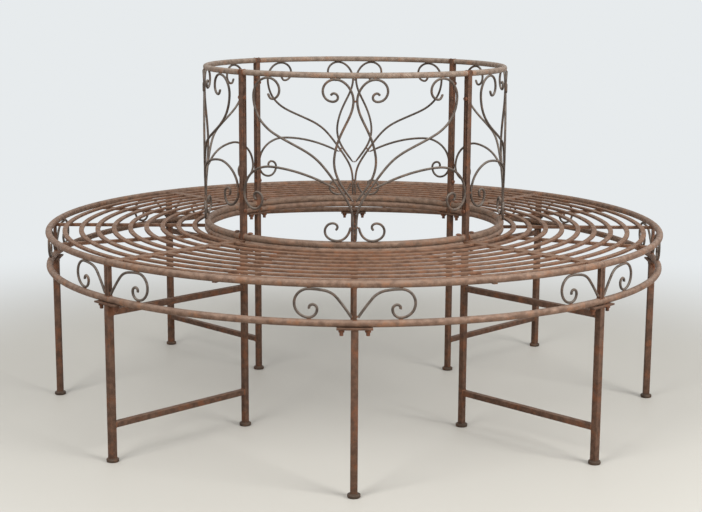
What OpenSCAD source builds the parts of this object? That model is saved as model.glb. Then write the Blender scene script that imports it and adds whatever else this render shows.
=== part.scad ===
// Round garden bench that stands around a tree: four curved seat sections on eight legs,
// four posts inside them, and four backrest panels of bent rod between the posts.
// Origin on the ground at the middle of the bench, front towards -Y, all sizes in mm.

/* [Seat] */
// Radius of the circle through the outer seat tube, the apron tube and the outer legs
seat_r = 781; // [720:1:850]
// Height of the slat tops above the ground
seat_h = 468; // [430:1:500]
// Height of the outer seat tube above the slat tops
seat_lip = 5.5; // [3:0.5:7]
// Number of slats across the seat
slat_count = 9; // [6:1:10]
// Width of a slat
slat_w = 12; // [10:1:20]
// Thickness of a slat
slat_t = 6; // [3:0.5:6.5]
// Middle of the outer seat tube to the middle of the first slat
slat_outer = 40; // [30:1:50]
// Middle of the inner seat tube to the middle of the last slat
slat_inner = 34; // [26:1:44]
// Width of a rib under the slats
rib_w = 10; // [6:1:16]
// Height of a rib
rib_t = 7.5; // [3:0.5:8]
// Width of the bar that closes each end of a seat section
end_bar_w = 12; // [8:1:20]
// Gap between two neighbouring seat sections
section_gap = 1; // [0.5:0.1:3]

/* [Tubes and rods] */
// Diameter of the seat tubes, the apron tube and the bottom rails
tube_d = 16; // [14:1:18]
// Diameter of the top rails
top_tube_d = 14; // [10:1:16]
// Diameter of the bent rods
rod_d = 6; // [4:0.5:6.5]
// Side of the stretchers and braces
brace_side = 14; // [10:1:14]
// Clearance between pieces that seat on each other
fit = 0.3; // [0.1:0.05:0.4]

/* [Legs and posts] */
// Side of an outer leg
leg_side = 16; // [14:1:18]
// Radius of the circle through the posts and the backrest
post_r = 380; // [350:1:420]
// Side of a post
post_side = 14; // [14:1:18]
// Height of the stretchers above the ground
stretcher_h = 87; // [60:1:200]
// Top of the legs down to the middle of the braces
brace_drop = 19; // [16:1:60]
// Diameter of a foot
foot_d = 32; // [31:1:40]
// Height of a foot
foot_h = 17; // [12:1:24]

/* [Apron] */
// Outer seat tube down to the apron tube, middle to middle
apron_depth = 84; // [74:1:100]
// Side of the upright over the middle leg of a section
upright_w = 8; // [6:1:12]
// Width of the upright at each end of a section
end_upright_w = 8; // [5:1:9]
// Depth of the upright at each end of a section
end_upright_t = 10; // [6:1:14]

/* [Backrest] */
// Height of the backrest above the ground
back_h = 879; // [820:1:940]
// Middle of the rails out to the middle of the bent rods
scroll_out = 6; // [0:0.5:8]
// Bottom rail up to the lower bolt across each post
lower_bolt_rise = 56; // [30:1:80]
// Top of the backrest down to the upper bolt across each post
upper_bolt_drop = 67; // [40:1:120]

/* [Plates and bolts] */
// Length of a plate
plate_len = 77; // [72:1:90]
// Width of a plate
plate_w = 25; // [22:1:30]
// Thickness of a plate
plate_t = 4; // [3:0.5:6]
// Diameter of the upright bolts
bolt_d = 8; // [6:0.5:8]
// Diameter of the bolts across the posts
cross_bolt_d = 6; // [4:0.5:7]
// Middle of an outer leg to each of its bolts
leg_bolt_at = 28; // [20:1:30]
// Middle of a post to each of its bolts
post_bolt_at = 24; // [20:1:30]
// Width of a nut across its flats, for each mm of bolt diameter
nut_w_ratio = 1.6; // [1.5:0.05:1.8]
// Height of a nut, for each mm of bolt diameter
nut_h_ratio = 0.8; // [0.6:0.05:1]
// Diameter of a bolt head, for each mm of bolt diameter
head_d_ratio = 1.7; // [1.4:0.05:2]
// Height of a bolt head, for each mm of bolt diameter
head_h_ratio = 0.5; // [0.3:0.05:0.7]
// Thread left showing below the nuts under the plates
bolt_tail = 7.5; // [1:0.5:12]
// Thread left showing past the nuts beside the posts
cross_bolt_tail = 1; // [0.5:0.5:4]

/* [Hidden] */

// Directions around the bench, in degrees from +X
front = -90;
front_right = -45;
right = 0;
back_right = 45;
back = 90;
back_left = 135;
left = 180;
front_left = -135;
leg_dirs = [for (a = [front : 45 : 225]) a];
post_dirs = [front_right, back_right, back_left, front_left];
// Half the angle of one seat section and of one backrest panel
half_section = 45;
// Angle between neighbouring ribs
rib_step = 22.5;

// Heights
slat_z = seat_h - slat_t;
rib_z = slat_z - rib_t;
outer_z = seat_h + seat_lip - tube_d / 2;
inner_z = seat_h - tube_d / 2;
apron_z = outer_z - apron_depth;
leg_plate_z = apron_z - tube_d / 2 - fit - plate_t;
post_plate_z = inner_z - tube_d / 2 - fit - plate_t;
rail_z = seat_h + fit + tube_d / 2;
rail_top = rail_z + tube_d / 2;
top_rail_z = back_h - top_tube_d / 2;
brace_z = leg_plate_z - brace_drop;
cross_bolts = [rail_top + lower_bolt_rise, back_h - upper_bolt_drop];
// Ground to the bottom of a leg inside its foot
foot_floor = 4;
// Pitch of the slats, so that they fill the seat between the two tubes
slat_pitch = (seat_r - slat_outer - post_r - slat_inner) / (slat_count - 1);
$fn = 96;

steel = "#6b4a38";
dark_steel = "#4f382c";
light_steel = "#8a6650";

// Angle that an arc length spans on a circle
function arc_deg(len, r) = len / r * 180 / PI;

// Moves children out to a radius in one direction, with +X away from the middle
module at(dir, r = 0) {
    rotate([0, 0, dir]) translate([r, 0, 0]) children();
}

module tube_arc(r, z, d, dir, half) {
    rotate([0, 0, dir - half])
        rotate_extrude(angle = 2 * half, $fn = 180)
            translate([r, z]) circle(d = d, $fn = 32);
}

// Whole ring a little larger than a tube, for cutting saddles
module saddle_cut(r, z, d) {
    rotate_extrude($fn = 180) translate([r, z]) circle(d = d + 2 * fit, $fn = 32);
}

// Square bar that stands upright on the circle at radius r
module upright_bar(dir, r, side, z0, z1) {
    at(dir, r) translate([-side / 2, -side / 2, z0]) cube([side, side, z1 - z0]);
}

module leg(dir) {
    color(steel) upright_bar(dir, seat_r, leg_side, foot_floor, leg_plate_z);
}

module post(dir) {
    color(steel) difference() {
        upright_bar(dir, post_r, post_side, foot_floor, back_h);
        for (z = cross_bolts)
            across_post(dir, z) translate([0, 0, -1]) bore(cross_bolt_d, post_side + 2);
    }
}

// Lays children across a post: +Z runs through it, from the side where the nut sits
module across_post(dir, z) {
    at(dir, post_r) translate([0, -post_side / 2, z]) rotate([-90, 0, 0]) children();
}

// Round hole for a bolt of diameter d
module bore(d, h) {
    cylinder(d = d + 2 * fit, h = h, $fn = 24);
}

// Square bar between the facing sides of a post and its outer leg
module strut(dir, z) {
    color(steel) at(dir, post_r + post_side / 2) translate([0, -brace_side / 2, z - brace_side / 2])
        cube([seat_r - leg_side / 2 - post_r - post_side / 2, brace_side, brace_side]);
}

// Seat sections

module outer_tube(dir) {
    color(light_steel)
        tube_arc(seat_r, outer_z, tube_d, dir, half_section - arc_deg(section_gap / 2, seat_r));
}

module apron_tube(dir) {
    color(light_steel)
        tube_arc(seat_r, apron_z, tube_d, dir, half_section - arc_deg(section_gap / 2, seat_r));
}

// Half angle of an arc that runs from post to post
post_to_post = half_section - arc_deg(post_side / 2 + fit, post_r);

// Vertical bores for the bolts on both sides of each post
module post_bolt_bores(dir, z0, z1) {
    for (end = [-1, 1])
        at(dir + end * (half_section - arc_deg(post_bolt_at, post_r)), post_r)
            translate([0, 0, z0]) bore(bolt_d, z1 - z0);
}

module inner_tube(dir) {
    color(light_steel) difference() {
        tube_arc(post_r, inner_z, tube_d, dir, post_to_post);
        post_bolt_bores(dir, inner_z - tube_d, inner_z + tube_d);
    }
}

// Everything past the inner side of the bars that close both ends of a section
module past_end_bars(dir) {
    inset = section_gap / 2 + end_bar_w;
    for (end = [-1, 1])
        at(dir + end * half_section)
            translate([0, end > 0 ? -inset : inset - seat_r, slat_z - 1])
                cube([seat_r, seat_r, slat_t + 2]);
}

module slats(dir) {
    color(light_steel) difference() {
        at(dir - half_section) for (i = [0 : slat_count - 1])
            rotate_extrude(angle = 2 * half_section, $fn = 180)
                translate([seat_r - slat_outer - i * slat_pitch - slat_w / 2, slat_z])
                    square([slat_w, slat_t]);
        past_end_bars(dir);
    }
}

// Flat bar from the inner seat tube to the outer one
module seat_bar(dir, side_shift, w, z, h) {
    at(dir, post_r) translate([0, side_shift - w / 2, z]) cube([seat_r - post_r, w, h]);
}

module ribs(dir) {
    color(dark_steel) difference() {
        union() {
            for (i = [-1, 0, 1]) seat_bar(dir + i * rib_step, 0, rib_w, rib_z, rib_t);
            for (end = [-1, 1])
                seat_bar(dir + end * half_section, -end * (section_gap + end_bar_w) / 2,
                    end_bar_w, slat_z, slat_t);
        }
        saddle_cut(seat_r, outer_z, tube_d);
        saddle_cut(post_r, inner_z, tube_d);
        upright_bar(dir, seat_r, max(upright_w, rib_w) + 2 * fit, apron_z, outer_z);
        for (end = [-1, 1])
            at(dir + end * half_section, post_r) translate([0, 0, seat_h])
                cube([post_side + 2 * fit, post_side + 2 * fit, 4 * tube_d], center = true);
    }
}

// Apron scroll: circular bends that all turn the same way, each as [radius, angle].
// The first list runs back from the top of the scroll to its foot at the upright,
// the second runs on from the top, down and round into the eye.
scroll_back = [[190, 10], [46, 40], [420, 7]];
scroll_on = [[30.7, 180], [18, 90], [10, 90], [7, 110]];
// Two bends meet in a bead a little wider than the rod
bead_d = rod_d + 0.3;
// The scroll fills the height between the outer seat tube and the apron tube
scroll_scale = (apron_depth - tube_d - bead_d - 2 * fit) / (2 * scroll_on[0][0]);
scroll_top_z = outer_z - tube_d / 2 - fit - bead_d / 2;

// Level run and last heading of a list of bends that starts level
function bends_turn(bends) = [for (b = bends) b[1]] * [for (b = bends) 1];
function bends_run(bends, i = 0, turned = 0) = i == len(bends) ? 0
    : bends[i][0] * (sin(turned + bends[i][1]) - sin(turned))
        + bends_run(bends, i + 1, turned + bends[i][1]);

// Foot of the scroll to its top and to its widest point
scroll_to_top = scroll_scale * bends_run(scroll_back);
scroll_to_end = scroll_to_top + scroll_scale * scroll_on[0][0];
// The scroll is flat, so it lies along a chord of the seat circle
scroll_plane_r = seat_r * (1 + cos(arc_deg(scroll_to_end / 2, seat_r))) / 2;

// Rod bent clockwise through the listed bends, starting along +X
module bent_rod(bends, i = 0) {
    if (i < len(bends)) {
        r = bends[i][0] * scroll_scale;
        a = bends[i][1];
        rotate([0, 90, 0]) sphere(d = bead_d, $fn = 24);
        translate([0, -r, 0]) rotate([0, 0, 90 - a])
            rotate_extrude(angle = a, $fn = 64) translate([r, 0]) circle(d = rod_d, $fn = 24);
        translate([r * sin(a), -r * (1 - cos(a)), 0]) rotate([0, 0, -a]) bent_rod(bends, i + 1);
    }
}

// Scroll whose foot is the given length round from a leg
module apron_scroll(foot_at) {
    at(arc_deg(foot_at + scroll_to_end / 2, seat_r), scroll_plane_r)
        translate([0, scroll_to_top - scroll_to_end / 2, scroll_top_z])
            rotate([90, 0, 90]) {
                bent_rod(scroll_on);
                mirror([1, 0, 0]) bent_rod(scroll_back);
            }
}

// Scroll whose foot ends at uprights that take up w of the circle
module scroll_beside(w) {
    apron_scroll(w / 2 + fit + rod_d / 2 * sin(bends_turn(scroll_back)));
}

// Apron of the section towards +X
module apron() {
    difference() {
        union() {
            upright_bar(0, seat_r, upright_w, apron_z, outer_z);
            for (end = [-1, 1])
                at(end * half_section, seat_r)
                    translate([0, -end * (section_gap + end_upright_w) / 2, (apron_z + outer_z) / 2])
                        cube([end_upright_t, end_upright_w, apron_depth], center = true);
        }
        saddle_cut(seat_r, outer_z, tube_d);
        saddle_cut(seat_r, apron_z, tube_d);
    }
    scroll_beside(upright_w);
    mirror([0, 1, 0]) scroll_beside(upright_w);
    at(-half_section) scroll_beside(section_gap + 2 * end_upright_w);
    at(half_section) mirror([0, 1, 0]) scroll_beside(section_gap + 2 * end_upright_w);
}

module apron_scrolls(dir) {
    color(dark_steel) at(dir) apron();
}

// Backrest panels

module bottom_rail(dir) {
    color(light_steel) difference() {
        tube_arc(post_r, rail_z, tube_d, dir, post_to_post);
        post_bolt_bores(dir, rail_z - tube_d, rail_z + tube_d);
    }
}

module top_rail(dir) {
    color(light_steel) tube_arc(post_r, top_rail_z, top_tube_d, dir, post_to_post);
}

// The rods of half a panel are drawn flat on a sheet that reaches from the middle of the
// panel to the post and from the bottom rail to the top rail, measured between the middles
// of rods that touch them. Each station is [across, up, heading], with heading 0 away from
// the middle and 90 up, and the rod bends smoothly from one station to the next.
sheet_w = 288;
sheet_h = 375;
s_scroll = [
    [56, 338, 120], [48, 343, 190], [39.5, 333, 270], [52, 323.5, 360], [75, 348, 450],
    [45, 375, 540], [12, 353.5, 598], [3.2, 324, 630], [18, 278, 658], [50, 192, 630],
    [35, 134.5, 600], [2, 91.5, 588]
];
long_scroll = [
    [212, 338, 250], [201, 325.5, 180], [181, 347, 90], [213, 375, 0], [256.5, 328, -90],
    [237.5, 276, -130], [190, 241, -152], [127, 214, -155], [77, 180, -134], [44.5, 137, -123],
    [17, 96, -115], [3.2, 50, -90], [3.2, -1.6, -90]
];
arch_scroll = [
    [42, 122.2, 38], [84, 143, 22], [204, 168.5, 0], [288, 100, -90], [254, 62.5, -180],
    [229.5, 88, -270], [245.5, 103.7, -360], [255, 95, -450], [248.5, 87.5, -550]
];
foot_scroll = [
    [9.7, 33, 275], [40, 0, 360], [69.5, 22, 450], [51, 42, 540], [39.5, 33, 630], [44, 26, 690]
];
// Largest bend between two neighbouring sections of a rod, and sides of a section
bend_step = 20;
rod_sides = 6;

// Where the drawn sheet lies on the panel
scroll_r = post_r + scroll_out;
panel_w = scroll_r * half_section * PI / 180 - post_side / 2 - fit - rod_d / 2;
panel_z = rail_z + rod_off_tube(tube_d);
panel_h = top_rail_z - rod_off_tube(top_tube_d) - panel_z;

// Height between the middles of a rail and of a level rod that touches it
function rod_off_tube(d) = sqrt(((d + rod_d) / 2 + fit) ^ 2 - scroll_out ^ 2);

// Station scaled to the panel and kept on its own side of the middle
function on_panel(s) = [
    max(s[0] * panel_w / sheet_w, (rod_d * abs(sin(s[2])) + fit) / 2),
    s[1] * panel_h / sheet_h,
    s[2]
];

// Smooth bend from station a to station b, at t from 0 to 1
function bend_pull(a, b) = norm([b[0] - a[0], b[1] - a[1]]) / cos((b[2] - a[2]) / 4) ^ 2;
function bend_at(a, b, t) =
    let (pull = bend_pull(a, b), u = 1 - t)
    (1 + 2 * t) * u * u * [a[0], a[1]] + t * t * (3 - 2 * t) * [b[0], b[1]]
        + t * u * u * pull * [cos(a[2]), sin(a[2])] - t * t * u * pull * [cos(b[2]), sin(b[2])];
function bend_dir(a, b, t) =
    let (
        pull = bend_pull(a, b),
        d = 6 * t * (1 - t) * [b[0] - a[0], b[1] - a[1]]
            + (1 - t) * (1 - 3 * t) * pull * [cos(a[2]), sin(a[2])]
            + t * (3 * t - 2) * pull * [cos(b[2]), sin(b[2])]
    )
    d / norm(d);
function bend_steps(a, b) = max(1, ceil(abs(b[2] - a[2]) / bend_step - 0.01));

// Sections along a rod, each as [point, direction]
function rod_line(stations) = [
    for (i = [0 : len(stations) - 2])
        let (a = on_panel(stations[i]), b = on_panel(stations[i + 1]), n = bend_steps(a, b))
            for (k = [0 : n - (i == len(stations) - 2 ? 0 : 1)])
                [bend_at(a, b, k / n), bend_dir(a, b, k / n)]
];

// Wraps a point of the sheet round the backrest, lifted off it by h
function wrapped(p, h) =
    let (a = arc_deg(p[0], scroll_r), r = scroll_r + h)
    [r * cos(a), r * sin(a), panel_z + p[1]];

function rod_ring(section) = [
    for (k = [0 : rod_sides - 1])
        let (a = 360 * k / rod_sides, side = [-section[1][1], section[1][0]])
            wrapped(section[0] + rod_d / 2 * cos(a) * side, rod_d / 2 * sin(a))
];

module wrapped_rod(stations) {
    line = rod_line(stations);
    last = len(line) - 1;
    n = rod_sides;
    polyhedron(
        points = [for (section = line) each rod_ring(section)],
        faces = concat(
            [for (k = [1 : n - 2]) [0, k, k + 1]],
            [for (k = [1 : n - 2]) [last * n, last * n + k + 1, last * n + k]],
            [for (i = [0 : last - 1], k = [0 : n - 1])
                let (m = (k + 1) % n) [i * n + k, (i + 1) * n + k, i * n + m]],
            [for (i = [0 : last - 1], k = [0 : n - 1])
                let (m = (k + 1) % n) [(i + 1) * n + k, (i + 1) * n + m, i * n + m]]
        )
    );
}

module half_panel() {
    wrapped_rod(s_scroll);
    wrapped_rod(long_scroll);
    wrapped_rod(arch_scroll);
    wrapped_rod(foot_scroll);
}

module back_scrolls(dir) {
    color(dark_steel) at(dir) {
        half_panel();
        mirror([0, 1, 0]) half_panel();
    }
}

// Feet, plates and bolts

module foot(side) {
    difference() {
        rotate_extrude($fn = 48) polygon([
            [0, 0], [foot_d / 2, 0], [foot_d / 2, foot_h / 4],
            [foot_d / 2 - 1, foot_h * 2 / 3], [foot_d / 2 - 3, foot_h], [0, foot_h]
        ]);
        translate([-side / 2 - fit, -side / 2 - fit, foot_floor])
            cube([side + 2 * fit, side + 2 * fit, foot_h]);
    }
}

module feet() {
    color(dark_steel) {
        for (dir = leg_dirs) at(dir, seat_r) foot(leg_side);
        for (dir = post_dirs) at(dir, post_r) foot(post_side);
    }
}

module leg_plate() {
    difference() {
        translate([-plate_w / 2, -plate_len / 2, leg_plate_z]) cube([plate_w, plate_len, plate_t]);
        for (end = [-1, 1])
            translate([0, end * leg_bolt_at, leg_plate_z - 1]) bore(bolt_d, plate_t + 2);
    }
}

module plates() {
    color(steel) {
        for (dir = leg_dirs) at(dir, seat_r) leg_plate();
        for (dir = post_dirs) difference() {
            at(dir, post_r) translate([-plate_w / 2, -plate_len / 2, post_plate_z])
                cube([plate_w, plate_len, plate_t]);
            upright_bar(dir, post_r, post_side + 2 * fit, post_plate_z - 1, seat_h);
            post_bolt_bores(dir - half_section, post_plate_z - 1, seat_h);
            post_bolt_bores(dir + half_section, post_plate_z - 1, seat_h);
        }
    }
}

// Moves children to the middle line of each bolt beside the posts
module at_post_bolts() {
    for (dir = post_dirs, end = [-1, 1])
        at(dir + end * arc_deg(post_bolt_at, post_r), post_r) children();
}

// Bolt of diameter d along +Z, with its end at the origin and its head past the length
module bolt(d, len) {
    cylinder(d = d, h = len, $fn = 24);
    translate([0, 0, len]) scale(d) rotate_extrude($fn = 32) polygon([
        [0, 0], [head_d_ratio / 2, 0], [head_d_ratio / 2, head_h_ratio / 3],
        [head_d_ratio / 3, head_h_ratio * 0.85], [head_d_ratio / 8, head_h_ratio], [0, head_h_ratio]
    ]);
}

module bolts() {
    nut_h = bolt_d * nut_h_ratio;
    cross_nut_h = cross_bolt_d * nut_h_ratio;
    stud_z = leg_plate_z - nut_h - bolt_tail;
    post_bolt_z = post_plate_z - nut_h - bolt_tail;
    color(dark_steel) {
        // Studs under the apron tube
        for (dir = leg_dirs, end = [-1, 1])
            at(dir, seat_r) translate([0, end * leg_bolt_at, stud_z])
                cylinder(d = bolt_d, h = apron_z - tube_d / 2 - fit - stud_z, $fn = 24);
        // Bolts down through the bottom rail, the inner seat tube and the post plate
        at_post_bolts() translate([0, 0, post_bolt_z]) bolt(bolt_d, rail_top + fit - post_bolt_z);
        // Bolts across the posts
        for (dir = post_dirs, z = cross_bolts)
            across_post(dir, z) translate([0, 0, -cross_nut_h - cross_bolt_tail])
                bolt(cross_bolt_d, cross_nut_h + cross_bolt_tail + post_side);
    }
}

// Nut for a bolt of diameter d, with its top face at the origin
module nut(d) {
    h = d * nut_h_ratio;
    translate([0, 0, -h]) difference() {
        cylinder(d = d * nut_w_ratio / cos(30), h = h, $fn = 6);
        translate([0, 0, -1]) bore(d, h + 2);
    }
}

module nuts() {
    color(dark_steel) {
        for (dir = leg_dirs, end = [-1, 1])
            at(dir, seat_r) translate([0, end * leg_bolt_at, leg_plate_z]) nut(bolt_d);
        at_post_bolts() translate([0, 0, post_plate_z]) nut(bolt_d);
        for (dir = post_dirs, z = cross_bolts) across_post(dir, z) nut(cross_bolt_d);
    }
}

leg(front);  // front_leg
leg(front_right);  // front_right_leg
leg(right);  // right_leg
leg(back_right);  // back_right_leg
leg(back);  // back_leg
leg(back_left);  // back_left_leg
leg(left);  // left_leg
leg(front_left);  // front_left_leg
post(front_right);  // front_right_post
post(back_right);  // back_right_post
post(back_left);  // back_left_post
post(front_left);  // front_left_post
strut(front_right, stretcher_h);  // front_right_stretcher
strut(back_right, stretcher_h);  // back_right_stretcher
strut(back_left, stretcher_h);  // back_left_stretcher
strut(front_left, stretcher_h);  // front_left_stretcher
strut(front_right, brace_z);  // front_right_brace
strut(back_right, brace_z);  // back_right_brace
strut(back_left, brace_z);  // back_left_brace
strut(front_left, brace_z);  // front_left_brace
outer_tube(front);  // front_outer_tube
outer_tube(right);  // right_outer_tube
outer_tube(back);  // back_outer_tube
outer_tube(left);  // left_outer_tube
apron_tube(front);  // front_apron_tube
apron_tube(right);  // right_apron_tube
apron_tube(back);  // back_apron_tube
apron_tube(left);  // left_apron_tube
apron_scrolls(front);  // front_apron_scrolls
apron_scrolls(right);  // right_apron_scrolls
apron_scrolls(back);  // back_apron_scrolls
apron_scrolls(left);  // left_apron_scrolls
inner_tube(front);  // front_inner_tube
inner_tube(right);  // right_inner_tube
inner_tube(back);  // back_inner_tube
inner_tube(left);  // left_inner_tube
slats(front);  // front_slats
slats(right);  // right_slats
slats(back);  // back_slats
slats(left);  // left_slats
ribs(front);  // front_ribs
ribs(right);  // right_ribs
ribs(back);  // back_ribs
ribs(left);  // left_ribs
bottom_rail(front);  // front_bottom_rail
bottom_rail(right);  // right_bottom_rail
bottom_rail(back);  // back_bottom_rail
bottom_rail(left);  // left_bottom_rail
top_rail(front);  // front_top_rail
top_rail(right);  // right_top_rail
top_rail(back);  // back_top_rail
top_rail(left);  // left_top_rail
back_scrolls(front);  // front_back_scrolls
back_scrolls(right);  // right_back_scrolls
back_scrolls(back);  // back_back_scrolls
back_scrolls(left);  // left_back_scrolls
feet();
plates();
bolts();
nuts();
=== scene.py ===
# Round tree bench of aged brown steel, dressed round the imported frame.
# The round tubes keep the frame's own shape. Rods, slats, square bars, plates and fasteners get
# softened copies, the feet are modelled here, and a weld is laid wherever two pieces meet.

import math

import bpy
from mathutils import Matrix, Vector


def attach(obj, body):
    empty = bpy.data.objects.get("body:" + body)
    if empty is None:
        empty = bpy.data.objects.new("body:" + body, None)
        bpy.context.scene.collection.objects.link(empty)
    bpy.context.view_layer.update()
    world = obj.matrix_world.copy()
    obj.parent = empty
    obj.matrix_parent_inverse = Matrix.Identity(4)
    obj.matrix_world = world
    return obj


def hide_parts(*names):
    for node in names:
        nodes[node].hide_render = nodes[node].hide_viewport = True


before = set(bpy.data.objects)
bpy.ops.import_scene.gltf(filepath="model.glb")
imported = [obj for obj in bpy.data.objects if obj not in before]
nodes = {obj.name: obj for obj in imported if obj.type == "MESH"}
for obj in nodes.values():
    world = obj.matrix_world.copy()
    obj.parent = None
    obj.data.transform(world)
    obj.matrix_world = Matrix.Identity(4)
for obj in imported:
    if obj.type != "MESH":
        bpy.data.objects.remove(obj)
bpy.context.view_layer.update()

MM = 0.001
SIDES = ("front", "right", "back", "left")

# Camera at the photograph's place, in metres and radians. The frame is 702 x 512.
CAMERA_AT = (-0.0116, -3.7341, 1.0796)
CAMERA_DOWN = 0.1856
CAMERA_TURN = -0.001
CAMERA_ROLL = 0.0052
SENSOR_W = 36.0
LENS = 74.35

bpy.ops.object.camera_add(location=CAMERA_AT)
camera = bpy.context.object
camera.name = "photo_camera"
camera.data.sensor_width = SENSOR_W
camera.data.lens = LENS
camera.rotation_euler = (
    Matrix.Rotation(CAMERA_TURN, 3, "Z")
    @ Matrix.Rotation(math.pi / 2 - CAMERA_DOWN, 3, "X")
    @ Matrix.Rotation(CAMERA_ROLL, 3, "Z")
).to_euler()
bpy.context.scene.camera = camera
bpy.context.scene.view_settings.view_transform = "Standard"


# Node helpers

def add_node(tree, kind, at=(0, 0), **settings):
    """A node of that kind at its place in the editor, with its settings."""
    node = tree.nodes.new(kind)
    node.location = at
    for key, value in settings.items():
        setattr(node, key, value)
    return node


def feed(tree, node, **inputs):
    """Links or sets a node's inputs, by name, or by number as in0, in1 and so on."""
    for key, value in inputs.items():
        name = key.replace("_", " ")
        numbered = key.startswith("in") and key[2:].isdigit()
        socket = node.inputs[int(key[2:]) if numbered else name]
        if isinstance(value, bpy.types.NodeSocket):
            tree.links.new(value, socket)
        else:
            socket.default_value = value


def new_group(name, inputs, outputs):
    """An empty shader group with those sockets. Each input is (name, kind, value)."""
    tree = bpy.data.node_groups.new(name, "ShaderNodeTree")
    for label, kind, value in inputs:
        socket = tree.interface.new_socket(label, in_out="INPUT", socket_type=kind)
        if value is not None:
            socket.default_value = value
    for label, kind in outputs:
        tree.interface.new_socket(label, in_out="OUTPUT", socket_type=kind)
    start = add_node(tree, "NodeGroupInput", (-900, 0))
    end = add_node(tree, "NodeGroupOutput", (700, 0))
    return tree, start.outputs, end


def math_node(tree, operation, a, b, clamp=False, at=(0, 0)):
    """A sum, difference, product or quotient of two values."""
    node = add_node(tree, "ShaderNodeMath", at, operation=operation, use_clamp=clamp)
    feed(tree, node, in0=a, in1=b)
    return node.outputs[0]


def spread(tree, value, low, high, to_low=0.0, to_high=1.0, at=(0, 0)):
    """Maps a value from low..high to to_low..to_high, with soft ends."""
    node = add_node(tree, "ShaderNodeMapRange", at, interpolation_type="SMOOTHSTEP")
    feed(tree, node, Value=value, From_Min=low, From_Max=high, To_Min=to_low, To_Max=to_high)
    return node.outputs["Result"]


def noise(tree, place, scale, detail, roughness, at=(0, 0)):
    """Cloudy noise with that many blotches to a metre."""
    node = add_node(tree, "ShaderNodeTexNoise", at)
    feed(tree, node, Vector=place, Scale=scale, Detail=detail, Roughness=roughness)
    return node.outputs["Fac"]


def blend_colour(tree, amount, a, b, at=(0, 0)):
    """Colour that goes from a to b as the amount goes from 0 to 1."""
    node = add_node(tree, "ShaderNodeMix", at, data_type="RGBA")
    feed(tree, node, in0=amount, in6=a, in7=b)
    return node.outputs[2]


def mix_shaders(tree, amount, a, b, at):
    """Shader that goes from a to b as the amount goes from 0 to 1."""
    node = add_node(tree, "ShaderNodeMixShader", at)
    feed(tree, node, in0=amount, in1=a, in2=b)
    return node.outputs[0]


def seen_directly(tree, at):
    """1 for what the camera sees, also in a reflection or through glass, and 0 for light."""
    path = add_node(tree, "ShaderNodeLightPath", at)
    sight = path.outputs["Is Camera Ray"]
    for step, ray in enumerate(("Is Glossy Ray", "Is Transmission Ray"), 1):
        beside = (at[0] + 200 * step, at[1])
        sight = math_node(tree, "ADD", sight, path.outputs[ray], clamp=True, at=beside)
    return sight


# Effects that several finishes share. Each is built once and placed with its own values.

# Specks across one patch or cloud, and their share in where rust breaks through
SPECKS_IN_PATCH = 9.0
SPECK_SHARE = 0.35
# Highest value that the joined noise of the rust reaches
NOISE_TOP = 1.02
# Patches in a metre of the pale tops, which are partly dust and partly painted highlight
PALE_TOP_PATCHES = 55.0
# How far wear reaches in from an edge, in metres
EDGE_REACH = 0.0012


def rust_patches():
    """Soft-edged patches where rust comes through the paint, broken up by finer specks."""
    tree, given, end = new_group(
        "rust_patches",
        [("Place", "NodeSocketVector", None), ("Patches per metre", "NodeSocketFloat", 30.0),
         ("Cover", "NodeSocketFloat", 0.4)],
        [("Mask", "NodeSocketFloat"), ("Height", "NodeSocketFloat")],
    )
    size = given["Patches per metre"]
    broad = noise(tree, given["Place"], size, detail=5.0, roughness=0.62, at=(-600, 200))
    fine_size = math_node(tree, "MULTIPLY", size, SPECKS_IN_PATCH, at=(-700, -200))
    fine = noise(tree, given["Place"], fine_size, detail=3.0, roughness=0.7, at=(-500, -200))
    specks = math_node(tree, "MULTIPLY", fine, SPECK_SHARE, at=(-300, 0))
    total = math_node(tree, "ADD", broad, specks, at=(-150, 0))
    limit = math_node(tree, "SUBTRACT", NOISE_TOP, given["Cover"], at=(-300, 250))
    above = math_node(tree, "SUBTRACT", total, limit, at=(0, 100))
    mask = spread(tree, above, low=-0.02, high=0.16, at=(200, 100))
    tree.links.new(mask, end.inputs["Mask"])
    tree.links.new(math_node(tree, "MULTIPLY", mask, fine, at=(400, -100)), end.inputs["Height"])
    return tree


def metal_grain():
    """Fine mottling of brushed-on paint over scaly steel, with a pitted surface."""
    tree, given, end = new_group(
        "metal_grain",
        [("Place", "NodeSocketVector", None), ("Specks per metre", "NodeSocketFloat", 700.0)],
        [("Value", "NodeSocketFloat"), ("Height", "NodeSocketFloat")],
    )
    size = given["Specks per metre"]
    specks = noise(tree, given["Place"], size, detail=4.0, roughness=0.65, at=(-500, 200))
    cloud_size = math_node(tree, "DIVIDE", size, SPECKS_IN_PATCH, at=(-700, -150))
    clouds = noise(tree, given["Place"], cloud_size, detail=3.0, roughness=0.5, at=(-500, -150))
    value = math_node(tree, "MULTIPLY", specks, clouds, at=(-200, 100))
    tree.links.new(spread(tree, value, low=0.12, high=0.4, at=(0, 100)), end.inputs["Value"])
    pits = add_node(tree, "ShaderNodeTexVoronoi", (-500, -450), feature="F1")
    feed(tree, pits, Vector=given["Place"], Scale=size)
    pit = spread(tree, pits.outputs["Distance"], low=0.0, high=0.45, at=(-250, -450))
    tree.links.new(math_node(tree, "MULTIPLY", specks, pit, at=(200, -250)), end.inputs["Height"])
    return tree


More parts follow.
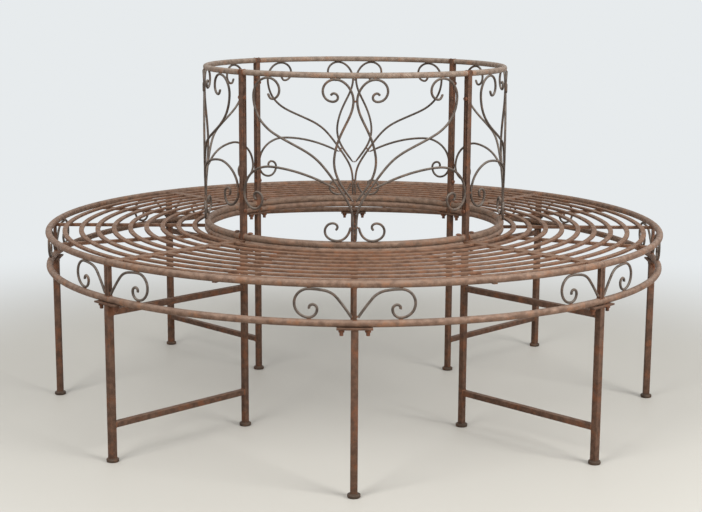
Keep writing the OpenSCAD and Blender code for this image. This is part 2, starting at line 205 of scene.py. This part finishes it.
def worn_edges():
    """Where an outside edge has rubbed through to lighter metal, in broken stretches."""
    tree, given, end = new_group(
        "worn_edges",
        [("Place", "NodeSocketVector", None), ("Breaks per metre", "NodeSocketFloat", 120.0),
         ("Reach", "NodeSocketFloat", 0.5)],
        [("Mask", "NodeSocketFloat")],
    )
    rounded = add_node(tree, "ShaderNodeBevel", (-700, 200), samples=4)
    rounded.inputs["Radius"].default_value = EDGE_REACH
    true_face = add_node(tree, "ShaderNodeNewGeometry", (-700, -50))
    angle = add_node(tree, "ShaderNodeVectorMath", (-450, 150), operation="DOT_PRODUCT")
    feed(tree, angle, in0=rounded.outputs["Normal"], in1=true_face.outputs["Normal"])
    bend = spread(tree, angle.outputs["Value"], low=0.995, high=0.8, at=(-200, 150))
    size = given["Breaks per metre"]
    breaks = noise(tree, given["Place"], size, detail=4.0, roughness=0.6, at=(-450, -250))
    kept = spread(tree, breaks, low=0.42, high=0.62, at=(-200, -250))
    rubbed = math_node(tree, "MULTIPLY", bend, kept, at=(100, 0))
    mask = math_node(tree, "MULTIPLY", rubbed, given["Reach"], clamp=True, at=(300, 0))
    tree.links.new(mask, end.inputs["Mask"])
    return tree


def pale_tops_dust_and_highlight():
    """Faces that look up are paler than the rest: partly dust, partly a painted highlight."""
    tree, given, end = new_group(
        "pale_tops_dust_and_highlight",
        [("Place", "NodeSocketVector", None), ("Strength", "NodeSocketFloat", 0.6)],
        [("Mask", "NodeSocketFloat")],
    )
    face = add_node(tree, "ShaderNodeNewGeometry", (-800, 100))
    axes = add_node(tree, "ShaderNodeSeparateXYZ", (-600, 100))
    feed(tree, axes, in0=face.outputs["Normal"])
    up = spread(tree, axes.outputs["Z"], low=0.1, high=0.95, at=(-400, 100))
    size = PALE_TOP_PATCHES
    clouds = noise(tree, given["Place"], size, detail=5.0, roughness=0.6, at=(-600, -200))
    patchy = spread(tree, clouds, low=0.3, high=0.65, to_low=0.35, at=(-400, -200))
    pale = math_node(tree, "MULTIPLY", up, patchy, at=(-150, 0))
    mask = math_node(tree, "MULTIPLY", pale, given["Strength"], clamp=True, at=(100, 0))
    tree.links.new(mask, end.inputs["Mask"])
    return tree


GROUPS = {
    "rust": rust_patches(),
    "grain": metal_grain(),
    "edges": worn_edges(),
    "tops": pale_tops_dust_and_highlight(),
}


def place_group(tree, which, place, at, **inputs):
    """One of the shared effects, with its own values. Gives its outputs by name."""
    node = add_node(tree, "ShaderNodeGroup", at, node_tree=GROUPS[which])
    feed(tree, node, Place=place, **inputs)
    return node.outputs


# Specks of the paint and breaks of the worn edges in a metre, and how much of an edge is worn
PAINT_SPECKS = 650.0
EDGE_BREAKS = 110.0
EDGE_WEAR = 0.6
# Roughness of smooth and of scaly paint, and what rust adds to it
SMOOTH_PAINT = 0.5
SCALY_PAINT = 0.8
RUST_ROUGHER = 0.15
# Strength of the surface's relief, and its height in metres
RELIEF = 0.25
RELIEF_HEIGHT = 0.0006
# Paint and scale cover most of the metal
METALNESS = 0.25
SPECULAR = 0.3


def aged_steel(name, paint, shade, rust, bare_and_highlight, tops, cover, patches=30.0):
    """Brown paint over steel, darker in patches, rusting, rubbed at the edges and paler on top.

    Tops is how pale the upper faces are, cover how much rusts, and patches how many to a metre.
    """
    material = bpy.data.materials.new(name)
    material.use_nodes = True
    tree = material.node_tree
    shader = tree.nodes["Principled BSDF"]
    paint, shade, rust, bare_and_highlight = ((*colour, 1.0) for colour in (paint, shade, rust, bare_and_highlight))
    place = add_node(tree, "ShaderNodeTexCoord", (-1500, 0)).outputs["Object"]
    grain = place_group(tree, "grain", place, (-1200, 300), Specks_per_metre=PAINT_SPECKS)
    rusting = place_group(tree, "rust", place, (-1200, 0), Patches_per_metre=patches, Cover=cover)
    top = place_group(tree, "tops", place, (-1200, -300), Strength=tops)
    edge = place_group(
        tree, "edges", place, (-1200, -550), Breaks_per_metre=EDGE_BREAKS, Reach=EDGE_WEAR
    )
    colour = blend_colour(tree, grain["Value"], shade, paint, at=(-900, 300))
    colour = blend_colour(tree, rusting["Mask"], colour, rust, at=(-700, 200))
    # Upper faces turn towards the pale colour: partly dust, partly a painted highlight from above
    colour = blend_colour(tree, top["Mask"], colour, bare_and_highlight, at=(-500, 100))
    colour = blend_colour(tree, edge["Mask"], colour, bare_and_highlight, at=(-300, 0))
    scaly = spread(
        tree, grain["Value"], low=0.0, high=1.0, to_low=SCALY_PAINT, to_high=SMOOTH_PAINT,
        at=(-700, -250),
    )
    rougher = math_node(tree, "MULTIPLY", rusting["Mask"], RUST_ROUGHER, at=(-700, -400))
    roughness = math_node(tree, "ADD", scaly, rougher, clamp=True, at=(-450, -250))
    heights = math_node(tree, "ADD", grain["Height"], rusting["Height"], at=(-700, -500))
    relief = add_node(tree, "ShaderNodeBump", (-300, -400))
    feed(tree, relief, Height=heights, Strength=RELIEF, Distance=RELIEF_HEIGHT)
    feed(tree, shader, Base_Color=colour, Roughness=roughness, Normal=relief.outputs["Normal"])
    shader.inputs["Metallic"].default_value = METALNESS
    shader.inputs["Specular IOR Level"].default_value = SPECULAR
    return material


# Tops sets how pale the upper faces are: partly dust, partly a painted highlight
FINISHES = {
    "leg_steel": aged_steel(
        "aged_leg_steel", paint=(0.113, 0.058, 0.035), shade=(0.06, 0.032, 0.02),
        rust=(0.14, 0.058, 0.029), bare_and_highlight=(0.29, 0.185, 0.13), tops=0.5, cover=0.34,
    ),
    "seat_tube": aged_steel(
        "aged_tube_steel", paint=(0.188, 0.114, 0.077), shade=(0.1, 0.058, 0.039),
        rust=(0.208, 0.104, 0.058), bare_and_highlight=(0.385, 0.275, 0.21), tops=0.55, cover=0.33,
    ),
    "slat_steel": aged_steel(
        "aged_slat_steel", paint=(0.172, 0.09, 0.053), shade=(0.092, 0.046, 0.028),
        rust=(0.185, 0.081, 0.042), bare_and_highlight=(0.345, 0.215, 0.14), tops=0.55, cover=0.33,
    ),
    "scroll_rod": aged_steel(
        "aged_rod_steel", paint=(0.106, 0.08, 0.063), shade=(0.053, 0.04, 0.032),
        rust=(0.145, 0.09, 0.062), bare_and_highlight=(0.32, 0.27, 0.225), tops=0.6, cover=0.3,
    ),
    "foot": aged_steel(
        "aged_foot_steel", paint=(0.068, 0.043, 0.028), shade=(0.036, 0.023, 0.015),
        rust=(0.1, 0.052, 0.03), bare_and_highlight=(0.15, 0.11, 0.085), tops=0.35, cover=0.34,
    ),
    "fastener": aged_steel(
        "rusted_fastener_steel", paint=(0.088, 0.046, 0.031), shade=(0.042, 0.023, 0.016),
        rust=(0.15, 0.06, 0.031), bare_and_highlight=(0.24, 0.16, 0.12), tops=0.35, cover=0.5,
    ),
    # Paler than the tube finish, partly painted light standing in for the light on the rail's
    # front
    "top_rail": aged_steel(
        "aged_top_rail_steel", paint=(0.24, 0.175, 0.132), shade=(0.13, 0.092, 0.069),
        rust=(0.245, 0.145, 0.095), bare_and_highlight=(0.46, 0.37, 0.3), tops=0.55, cover=0.32,
    ),
    "low_rail": aged_steel(
        "aged_low_rail_steel", paint=(0.2, 0.128, 0.088), shade=(0.107, 0.068, 0.047),
        rust=(0.215, 0.115, 0.07), bare_and_highlight=(0.36, 0.26, 0.2), tops=0.4, cover=0.33,
    ),
    "weld": aged_steel(
        "rusted_weld_steel", paint=(0.115, 0.058, 0.036), shade=(0.056, 0.03, 0.02),
        rust=(0.17, 0.07, 0.035), bare_and_highlight=(0.26, 0.17, 0.12), tops=0.35, cover=0.5, patches=80.0,
    ),
}


def dress(piece, finish):
    """Gives a piece one finish over all its faces."""
    piece.data.materials.clear()
    piece.data.materials.append(FINISHES[finish])


# Each node's slot, and its finish, which differs from the slot only on the rails
SLOT_OF = {name: node.data.materials[0].name.split(".")[0] for name, node in nodes.items()}
FINISH_OF = dict(SLOT_OF)
for side in SIDES:
    FINISH_OF[side + "_top_rail"] = "top_rail"
    FINISH_OF[side + "_bottom_rail"] = "low_rail"
for name, node in nodes.items():
    node.material_slots[0].material = FINISHES[FINISH_OF[name]]


# Copies of the frame's bars, strips, plates, fasteners and rods, with soft edges or round sections

# Rounded edge of each kind of piece: its width in mm and how many facets go round it
SOFT_EDGES = {
    "slats": (1.1, 3),
    "ribs": (0.6, 2),
    "leg": (1.6, 3),
    "post": (1.4, 3),
    "stretcher": (1.3, 3),
    "brace": (1.3, 3),
    "upright": (0.9, 2),
    "plates": (0.6, 2),
    "nuts": (0.7, 2),
    "bolts": (0.6, 2),
}
# Edges that turn by more than this are rounded, and faces that meet at less are shaded smooth
SOFTENED_ABOVE = math.radians(40)
SMOOTH_BELOW = math.radians(35)
# Corners of the frame's triangles that are nearer than this are the same point
SAME_POINT = 0.002 * MM
# Rounding a rod's six sides takes this much off its radius, which is put back
ROD_REGAIN = 0.45 * MM
# An upright of the apron has fewer faces than this, and a rod has more
FEWEST_ROD_FACES = 1000


def alone(piece):
    """Selects that piece and nothing else."""
    bpy.ops.object.select_all(action="DESELECT")
    piece.select_set(True)
    bpy.context.view_layer.objects.active = piece


def joined_copy(name, label):
    """A copy of a node with its loose triangles joined, as one object of its own."""
    source = nodes[name]
    piece = source.copy()
    piece.data = source.data.copy()
    piece.name = piece.data.name = label
    piece.parent = None
    for key in list(piece.keys()):
        del piece[key]
    bpy.context.scene.collection.objects.link(piece)
    alone(piece)
    bpy.ops.object.mode_set(mode="EDIT")
    bpy.ops.mesh.select_all(action="SELECT")
    bpy.ops.mesh.customdata_custom_splitnormals_clear()
    bpy.ops.mesh.remove_doubles(threshold=SAME_POINT)
    bpy.ops.mesh.tris_convert_to_quads()
    bpy.ops.mesh.mark_sharp(clear=True)
    bpy.ops.object.mode_set(mode="OBJECT")
    return piece


def stand_in(piece, name):
    """The piece rides on the bench and stands for that node."""
    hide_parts(name)
    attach(piece, "root")


def soften(piece, kind):
    """Rounds the piece's sharp edges as that kind of piece has them."""
    width, facets = SOFT_EDGES[kind]
    alone(piece)
    bevel = piece.modifiers.new("soft_edges", "BEVEL")
    bevel.width = width * MM
    bevel.segments = facets
    bevel.limit_method = "ANGLE"
    bevel.angle_limit = SOFTENED_ABOVE
    bpy.ops.object.modifier_apply(modifier=bevel.name)
    bpy.ops.object.shade_smooth_by_angle(angle=SMOOTH_BELOW)


def softened(name):
    """Copy of a node with its sharp edges rounded. The name's last word is its kind."""
    piece = joined_copy(name, name + "_softened")
    soften(piece, name.split("_")[-1])
    dress(piece, FINISH_OF[name])
    stand_in(piece, name)


def join_pieces(parts):
    """Joins the pieces into the first of them."""
    bpy.ops.object.select_all(action="DESELECT")
    for part in parts:
        part.select_set(True)
    bpy.context.view_layer.objects.active = parts[0]
    bpy.ops.object.join()
    return bpy.context.object


def dressed_apron(name):
    """Copy of a quarter's apron pieces. Its uprights are softened and look like the legs."""
    joined_copy(name, name + "_dressed")
    bpy.ops.object.mode_set(mode="EDIT")
    bpy.ops.mesh.separate(type="LOOSE")
    bpy.ops.object.mode_set(mode="OBJECT")
    parts = list(bpy.context.selected_objects)
    for part in parts:
        if len(part.data.polygons) < FEWEST_ROD_FACES:
            soften(part, "upright")
            dress(part, "leg_steel")
        else:
            alone(part)
            bpy.ops.object.shade_smooth_by_angle(angle=SMOOTH_BELOW)
            dress(part, "scroll_rod")
    piece = join_pieces(parts)
    piece.name = piece.data.name = name + "_dressed"
    stand_in(piece, name)


def rounded_rods(name):
    """Copy of a panel's bent rods with round sections and smooth bends."""
    piece = joined_copy(name, name + "_rounded")
    smooth = piece.modifiers.new("round_rods", "SUBSURF")
    smooth.levels = smooth.render_levels = 2
    bpy.ops.object.modifier_apply(modifier=smooth.name)
    bpy.ops.object.mode_set(mode="EDIT")
    bpy.ops.mesh.select_all(action="SELECT")
    bpy.ops.transform.shrink_fatten(value=ROD_REGAIN)
    bpy.ops.object.mode_set(mode="OBJECT")
    bpy.ops.object.shade_smooth()
    dress(piece, FINISH_OF[name])
    stand_in(piece, name)


LEG_NAMES = (
    "front", "front_right", "right", "back_right", "back", "back_left", "left", "front_left",
)
# The posts stand behind every second leg
POST_NAMES = LEG_NAMES[1::2]

for side in SIDES:
    rounded_rods(side + "_back_scrolls")
    dressed_apron(side + "_apron_scrolls")
    softened(side + "_slats")
    softened(side + "_ribs")
for corner in LEG_NAMES:
    softened(corner + "_leg")
for corner in POST_NAMES:
    softened(corner + "_post")
softened("plates")
softened("nuts")
for corner in POST_NAMES:
    softened(corner + "_stretcher")
    softened(corner + "_brace")
softened("bolts")


# Welds, feet and threads. Sizes here are in mm and follow the frame's own pieces.

# Circles on which the legs and posts stand
SEAT_R = 781.0
POST_R = 380.0
# Half widths of the square bars, radii of the round tubes, and the gap where pieces fit together
LEG_HALF = 8.0
POST_HALF = 7.0
BAR_HALF = 7.0
TUBE_R = 8.0
TOP_TUBE_R = 7.0
FIT = 0.3
# Heights of the middle of a bar or tube, and of the underside of a plate or slat
STRETCHER_Z = 87.0
BRACE_Z = 350.2
LEG_PLATE_Z = 369.2
APRON_Z = 381.5
POST_PLATE_Z = 447.7
OUTER_Z = 465.5
INNER_Z = 460.0
SLAT_Z = 462.0
RAIL_Z = 476.3
TOP_RAIL_Z = 872.0

# Directions of the legs, of the middles of the quarters and of the posts, in degrees. JOINT is
# the turn from one leg to the next, and from the middle of a quarter to each of its ends.
JOINT = 45
LEG_DIRS = range(-90, 270, JOINT)
SECTION_DIRS = LEG_DIRS[::2]
POST_DIRS = LEG_DIRS[1::2]
RIB_STEP = 22.5

LEVEL = Matrix.Identity(4)
ALONG_Y = Matrix.Rotation(math.pi / 2, 4, "Z")
ALONG_Z = Matrix.Rotation(math.pi / 2, 4, "Y")
RING_ON_Y = Matrix.Rotation(math.pi / 2, 4, "X")


def spot(direction, r, across, z, spin=LEVEL, size=(1, 1, 1)):
    """Where a unit piece goes: r out in a direction and so far across it, turned and sized."""
    return (
        Matrix.Scale(MM, 4) @ Matrix.Rotation(math.radians(direction), 4, "Z")
        @ Matrix.Translation((r, across, z)) @ spin @ Matrix.Diagonal((*size, 1))
    )


def made_lumpy(piece, label, height, spacing):
    """Finishes the unit in hand: uneven like run metal, smooth shaded, at the origin."""
    lumps = bpy.data.textures.new(label + "_lumps", "CLOUDS")
    lumps.noise_scale = spacing
    uneven = piece.modifiers.new("uneven", "DISPLACE")
    uneven.texture = lumps
    uneven.strength = height
    bpy.ops.object.modifier_apply(modifier=uneven.name)
    bpy.ops.object.shade_smooth()
    piece.name = label
    return piece


def copied(unit, spots, name, finish):
    """One piece that holds a copy of the unit at each spot and rides on the bench."""
    parts = []
    for matrix in spots:
        part = unit.copy()
        part.data = unit.data.copy()
        part.data.transform(matrix)
        bpy.context.scene.collection.objects.link(part)
        parts.append(part)
    piece = join_pieces(parts)
    piece.name = piece.data.name = name
    dress(piece, finish)
    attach(piece, "root")
    return piece


# Unit weld run along X, 2 long and 2 across. Its ends are between round, 0, and square, 1.
BLUNTNESS = 0.6
bpy.ops.mesh.primitive_uv_sphere_add(segments=8, ring_count=7, radius=1.0)
run = bpy.context.object
blunt = run.modifiers.new("blunt_ends", "CAST")
blunt.cast_type = "CYLINDER"
blunt.factor = BLUNTNESS
bpy.ops.object.modifier_apply(modifier=blunt.name)
bpy.ops.object.mode_set(mode="EDIT")
bpy.ops.mesh.select_all(action="SELECT")
bpy.ops.transform.rotate(value=math.pi / 2, orient_axis="Y", center_override=(0, 0, 0))
bpy.ops.object.mode_set(mode="OBJECT")
weld_run = made_lumpy(run, "weld_run", height=0.35, spacing=0.22)

# Unit weld round the end of a tube of radius 1, in the XY plane
bpy.ops.mesh.primitive_torus_add(
    major_segments=40, minor_segments=8, major_radius=1.0, minor_radius=0.17
)
weld_ring = made_lumpy(bpy.context.object, "weld_ring", height=0.09, spacing=0.16)

# Unit dab of weld, 2 across
bpy.ops.mesh.primitive_ico_sphere_add(subdivisions=2, radius=1.0)
weld_dab = made_lumpy(bpy.context.object, "weld_dab", height=0.35, spacing=0.5)

# Square bars, legs and posts are welded along all four edges of their ends. A weld run's size
# is half its length and how far its bead reaches each way.
BAR_WELD = (BAR_HALF, 1.5, 1.5)
PLATE_BEAD = (1.6, 1.6)


def square_weld(direction, r, z, half, bead):
    """Runs along the four edges where an upright square bar ends. Half is half its width."""
    welds = []
    for s in (-half, half):
        welds.append(spot(direction, r + s, 0, z, ALONG_Y, (half, *bead)))
        welds.append(spot(direction, r, s, z, LEVEL, (half, *bead)))
    return welds


bar_welds = []
for direction in POST_DIRS:
    for z in (STRETCHER_Z, BRACE_Z):
        for r in (POST_R + POST_HALF, SEAT_R - LEG_HALF):
            for s in (-BAR_HALF, BAR_HALF):
                bar_welds.append(spot(direction, r, 0, z + s, ALONG_Y, BAR_WELD))
                bar_welds.append(spot(direction, r, s, z, ALONG_Z, BAR_WELD))
for direction in LEG_DIRS:
    bar_welds += square_weld(direction, SEAT_R, LEG_PLATE_Z, LEG_HALF, PLATE_BEAD)
for direction in POST_DIRS:
    bar_welds += square_weld(direction, POST_R, POST_PLATE_Z, POST_HALF, PLATE_BEAD)
copied(weld_run, bar_welds, "bar_welds", "weld")

# Feet: flat discs with a worn rim, and a weld round the leg or post that stands on each
FOOT_R = 14.5
FOOT_H = 8.0
FOOT_RIM = 2.2
FOOT_BEAD = (1.5, 1.3)
bpy.ops.mesh.primitive_cylinder_add(
    vertices=48, radius=FOOT_R, depth=FOOT_H, location=(0, 0, FOOT_H / 2)
)
disc = bpy.context.object
bpy.ops.object.transform_apply(location=True)
rim = disc.modifiers.new("worn_rim", "BEVEL")
rim.width = FOOT_RIM
rim.segments = 3
bpy.ops.object.modifier_apply(modifier=rim.name)
bpy.ops.object.shade_smooth_by_angle(angle=SMOOTH_BELOW)
foot_spots = []
foot_welds = []
for directions, r, half in ((LEG_DIRS, SEAT_R, LEG_HALF), (POST_DIRS, POST_R, POST_HALF)):
    for direction in directions:
        foot_spots.append(spot(direction, r, 0, 0))
        foot_welds += square_weld(direction, r, FOOT_H, half, FOOT_BEAD)
feet = copied(disc, foot_spots, "flat_feet", "foot")
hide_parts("feet")
copied(weld_run, foot_welds, "foot_welds", "foot")

# The inner seat tube and both rails end in a ring of weld at each post
ring_welds = []
for direction in POST_DIRS:
    for side in (-1, 1):
        for z, r in ((INNER_Z, TUBE_R), (RAIL_Z, TUBE_R), (TOP_RAIL_Z, TOP_TUBE_R)):
            across = side * (POST_HALF + 2 * FIT)
            ring_welds.append(spot(direction, POST_R, across, z, RING_ON_Y, (r, r, r)))
copied(weld_ring, ring_welds, "ring_welds", "weld")

# Uprights of the apron: half width and half depth, and how far those at a joint are from it
UPRIGHT_HALF = (4.0, 4.0)
END_UPRIGHT_HALF = (4.0, 5.0)
END_UPRIGHT_AT = 4.5
UPRIGHT_BEAD = 1.1


def upright_welds(direction, across, half, sides):
    """Welds at both ends of an upright, on the faces that show."""
    half_w, half_d = half
    down = math.sqrt(TUBE_R ** 2 - half_d ** 2)
    wide = (half_w, UPRIGHT_BEAD, UPRIGHT_BEAD)
    deep = (half_d, UPRIGHT_BEAD, UPRIGHT_BEAD)
    welds = []
    for z, up in ((OUTER_Z, -1), (APRON_Z, 1)):
        for s in (-half_d, half_d):
            welds.append(spot(direction, SEAT_R + s, across, z + up * down, ALONG_Y, wide))
        for side in sides:
            edge = across + side * half_w
            welds.append(spot(direction, SEAT_R, edge, z + up * TUBE_R, LEVEL, deep))
    return welds


apron_welds = []
for direction in SECTION_DIRS:
    apron_welds += upright_welds(direction, 0, UPRIGHT_HALF, (-1, 1))
    for side in (-1, 1):
        across = side * END_UPRIGHT_AT
        apron_welds += upright_welds(direction - JOINT, across, END_UPRIGHT_HALF, (side,))
copied(weld_run, apron_welds, "apron_welds", "weld")

# Slats are welded to the ribs and end bars from below, and the ribs to the seat tubes. A rib's
# own welds are so far in from the seat circle or out from the post circle, and so high.
SLAT_R = 741.0
SLAT_PITCH = 40.875
SLAT_COUNT = 9
RIB_HALF = 5.0
END_BAR_INNER = 12.5
SLAT_WELD = (4.5, 1.2, 1.2)
END_SLAT_WELD = (5.0, 1.2, 1.0)
RIB_WELD = (3.0, 1.2, 1.2)
RIB_OUTER_IN = 8.0
RIB_OUTER_Z = 459.0
RIB_INNER_OUT = 7.6
RIB_INNER_Z = 458.0
rib_ends = ((SEAT_R - RIB_OUTER_IN, RIB_OUTER_Z), (POST_R + RIB_INNER_OUT, RIB_INNER_Z))
slat_rows = [SLAT_R - row * SLAT_PITCH for row in range(SLAT_COUNT)]
seat_welds = []
for direction in SECTION_DIRS:
    for rib in (-RIB_STEP, 0, RIB_STEP):
        for s in (-RIB_HALF, RIB_HALF):
            for r in slat_rows:
                seat_welds.append(spot(direction + rib, r, s, SLAT_Z, LEVEL, SLAT_WELD))
            for r, z in rib_ends:
                seat_welds.append(spot(direction + rib, r, s, z, ALONG_Z, RIB_WELD))
    for end in (-1, 1):
        across = -end * END_BAR_INNER
        for r in slat_rows:
            seat_welds.append(
                spot(direction + end * JOINT, r, across, SLAT_Z, LEVEL, END_SLAT_WELD)
            )
copied(weld_run, seat_welds, "seat_welds", "weld")

# Dabs where the bent rods of a backrest panel touch each other, a rail or a post. Each place
# is across from the middle of the panel, up from the bottom rail, and out from the middle.
SCROLL_R = 386.0
PANEL_Z = 485.9
ROD_DAB = (2.6, 2.1, 2.6)
ROD_TOUCHES = (
    (0, 1.6, 386), (0, 16, 386), (0, 30, 386), (0, 41, 386), (0, 94.5, 386), (0, 327, 386),
    (41, 125.5, 385.8), (6.6, 32.4, 386), (37, 131.8, 386), (295.5, 100, 386),
    (41.5, -2.3, 384.2), (216, 380.2, 384.2), (46.3, 380.2, 384.2),
)
rod_welds = []
for direction in SECTION_DIRS:
    for across, up, r in ROD_TOUCHES:
        for side in (-1, 1) if across else (1,):
            turn = side * math.degrees(across / SCROLL_R)
            rod_welds.append(spot(direction + turn, r, 0, PANEL_Z + up, LEVEL, ROD_DAB))

# Dabs where the apron scrolls touch the tubes above and below them and the uprights. A scroll
# touches the tubes a little inside the seat circle, and the upright a little outside it.
TOP_FROM_FOOT = 90.3
FOOT_OFF = 2.5
FOOT_Z = 396.0
TOP_INSIDE = 0.7
FOOT_OUTSIDE = 1.0
TUBE_DAB = (2.6, 5.0, 1.7)
UPRIGHT_DAB = (3.0, 1.8, 3.2)
for direction in LEG_DIRS:
    at_joint = direction in POST_DIRS
    edge = END_UPRIGHT_AT + END_UPRIGHT_HALF[0] if at_joint else UPRIGHT_HALF[0]
    for side in (-1, 1):
        turn = side * math.degrees((edge + FOOT_OFF + TOP_FROM_FOOT) / SEAT_R)
        for z in (OUTER_Z - TUBE_R, APRON_Z + TUBE_R):
            rod_welds.append(spot(direction + turn, SEAT_R - TOP_INSIDE, 0, z, LEVEL, TUBE_DAB))
        across = side * (edge + FIT)
        rod_welds.append(
            spot(direction, SEAT_R + FOOT_OUTSIDE, across, FOOT_Z, LEVEL, UPRIGHT_DAB)
        )
copied(weld_dab, rod_welds, "rod_welds", "weld")

# Thread on the studs and bolts under the plates: one ridge wound down from the nut
STUD_R = 4.0
RIDGE_R = 0.5
THREAD_PITCH = 1.25
THREAD_TURNS = 5
STEPS_A_TURN = 24
CREST_SHARP_ABOVE = math.radians(30)
TAIL_TOP = 7.0
NUT_H = 6.4
LEG_BOLT_AT = 28.0
POST_BOLT_AT = 24.0
bpy.ops.mesh.primitive_circle_add(vertices=3, radius=RIDGE_R, fill_type="NOTHING")
ridge = bpy.context.object
bpy.ops.object.mode_set(mode="EDIT")
bpy.ops.mesh.select_all(action="SELECT")
bpy.ops.transform.rotate(value=math.pi / 2, orient_axis="X", center_override=(0, 0, 0))
bpy.ops.transform.translate(value=(STUD_R, 0, -TAIL_TOP))
bpy.ops.object.mode_set(mode="OBJECT")
wind = ridge.modifiers.new("wind", "SCREW")
wind.axis = "Z"
wind.screw_offset = THREAD_PITCH
wind.iterations = THREAD_TURNS
wind.steps = wind.render_steps = STEPS_A_TURN
wind.use_normal_calculate = True
bpy.ops.object.modifier_apply(modifier=wind.name)
bpy.ops.object.mode_set(mode="EDIT")
bpy.ops.mesh.select_all(action="SELECT")
bpy.ops.mesh.normals_make_consistent(inside=False)
bpy.ops.object.mode_set(mode="OBJECT")
bpy.ops.object.shade_smooth_by_angle(angle=CREST_SHARP_ABOVE)

threads = []
for direction in LEG_DIRS:
    for across in (-LEG_BOLT_AT, LEG_BOLT_AT):
        threads.append(spot(direction, SEAT_R, across, LEG_PLATE_Z - NUT_H))
bolt_turn = math.degrees(POST_BOLT_AT / POST_R)
for direction in POST_DIRS:
    for turn in (-bolt_turn, bolt_turn):
        threads.append(spot(direction + turn, POST_R, 0, POST_PLATE_Z - NUT_H))
copied(ridge, threads, "threads", "fastener")

for unit in (weld_run, weld_ring, weld_dab, ridge, disc):
    bpy.data.objects.remove(unit)


# Floor, light and background

FLOOR_R = 20.0
FLOOR_NEAR = (0.55, 0.53, 0.48, 1)
FLOOR_FAR = (0.6, 0.58, 0.53, 1)
FLOOR_ROUGHNESS = 0.6
BACKDROP = (0.8, 0.83, 0.845, 1)
# Distances from the middle over which the floor turns paler, and over which it fades away
PALER_FROM, PALER_TO = 0.95, 1.9
FADES_FROM, FADES_TO = 1.0, 2.4

bpy.ops.mesh.primitive_circle_add(vertices=96, radius=FLOOR_R, fill_type="NGON")
floor = bpy.context.object
floor.name = "floor"
floor_paint = bpy.data.materials.new("pale_floor")
floor_paint.use_nodes = True
tree = floor_paint.node_tree
shader = tree.nodes["Principled BSDF"]
shader.inputs["Roughness"].default_value = FLOOR_ROUGHNESS
place = add_node(tree, "ShaderNodeTexCoord", (-1000, 0)).outputs["Object"]
away = add_node(tree, "ShaderNodeVectorMath", (-800, 0), operation="LENGTH")
feed(tree, away, in0=place)
far = spread(tree, away.outputs["Value"], PALER_FROM, PALER_TO, at=(-600, 0))
feed(tree, shader, Base_Color=blend_colour(tree, far, FLOOR_NEAR, FLOOR_FAR, at=(-400, 0)))
backdrop = add_node(tree, "ShaderNodeEmission", (-200, -300))
feed(tree, backdrop, Color=BACKDROP, Strength=1.0)
distant = spread(tree, away.outputs["Value"], FADES_FROM, FADES_TO, at=(-600, -300))
faded = math_node(tree, "MULTIPLY", distant, seen_directly(tree, (-800, -600)), at=(-200, -500))
lit = mix_shaders(tree, faded, shader.outputs[0], backdrop.outputs[0], (100, 0))
# From below, the floor is clear
facing = add_node(tree, "ShaderNodeNewGeometry", (100, 300)).outputs["Backfacing"]
clear = add_node(tree, "ShaderNodeBsdfTransparent", (100, -300)).outputs[0]
feed(tree, tree.nodes["Material Output"], Surface=mix_shaders(tree, facing, lit, clear, (300, 0)))
floor.data.materials.append(floor_paint)

SKY = (1.0, 1.0, 1.0, 1)
SKY_LIGHT = 0.55
world = bpy.data.worlds.new("studio")
world.use_nodes = True
bpy.context.scene.world = world
tree = world.node_tree
soft = tree.nodes["Background"]
feed(tree, soft, Color=SKY, Strength=SKY_LIGHT)
behind = add_node(tree, "ShaderNodeBackground", (0, -300))
feed(tree, behind, Color=BACKDROP, Strength=1.0)
seen = seen_directly(tree, (-900, 0))
sky = mix_shaders(tree, seen, soft.outputs[0], behind.outputs[0], (250, 0))
feed(tree, tree.nodes["World Output"], Surface=sky)

LAMP_SIZE = 2.0
LAMP_AIM = (0, 0, 0.4)


def soft_box(name, at, power):
    """Square lamp that faces the bench."""
    bpy.ops.object.light_add(type="AREA", location=at)
    lamp = bpy.context.object
    lamp.name = name
    lamp.data.size = LAMP_SIZE
    lamp.data.energy = power
    lamp.rotation_euler = (Vector(LAMP_AIM) - Vector(at)).to_track_quat("-Z", "Y").to_euler()


soft_box("key_light", at=(-2.4, -3.3, 3.0), power=135)
soft_box("fill_light", at=(3.1, -2.8, 2.0), power=180)
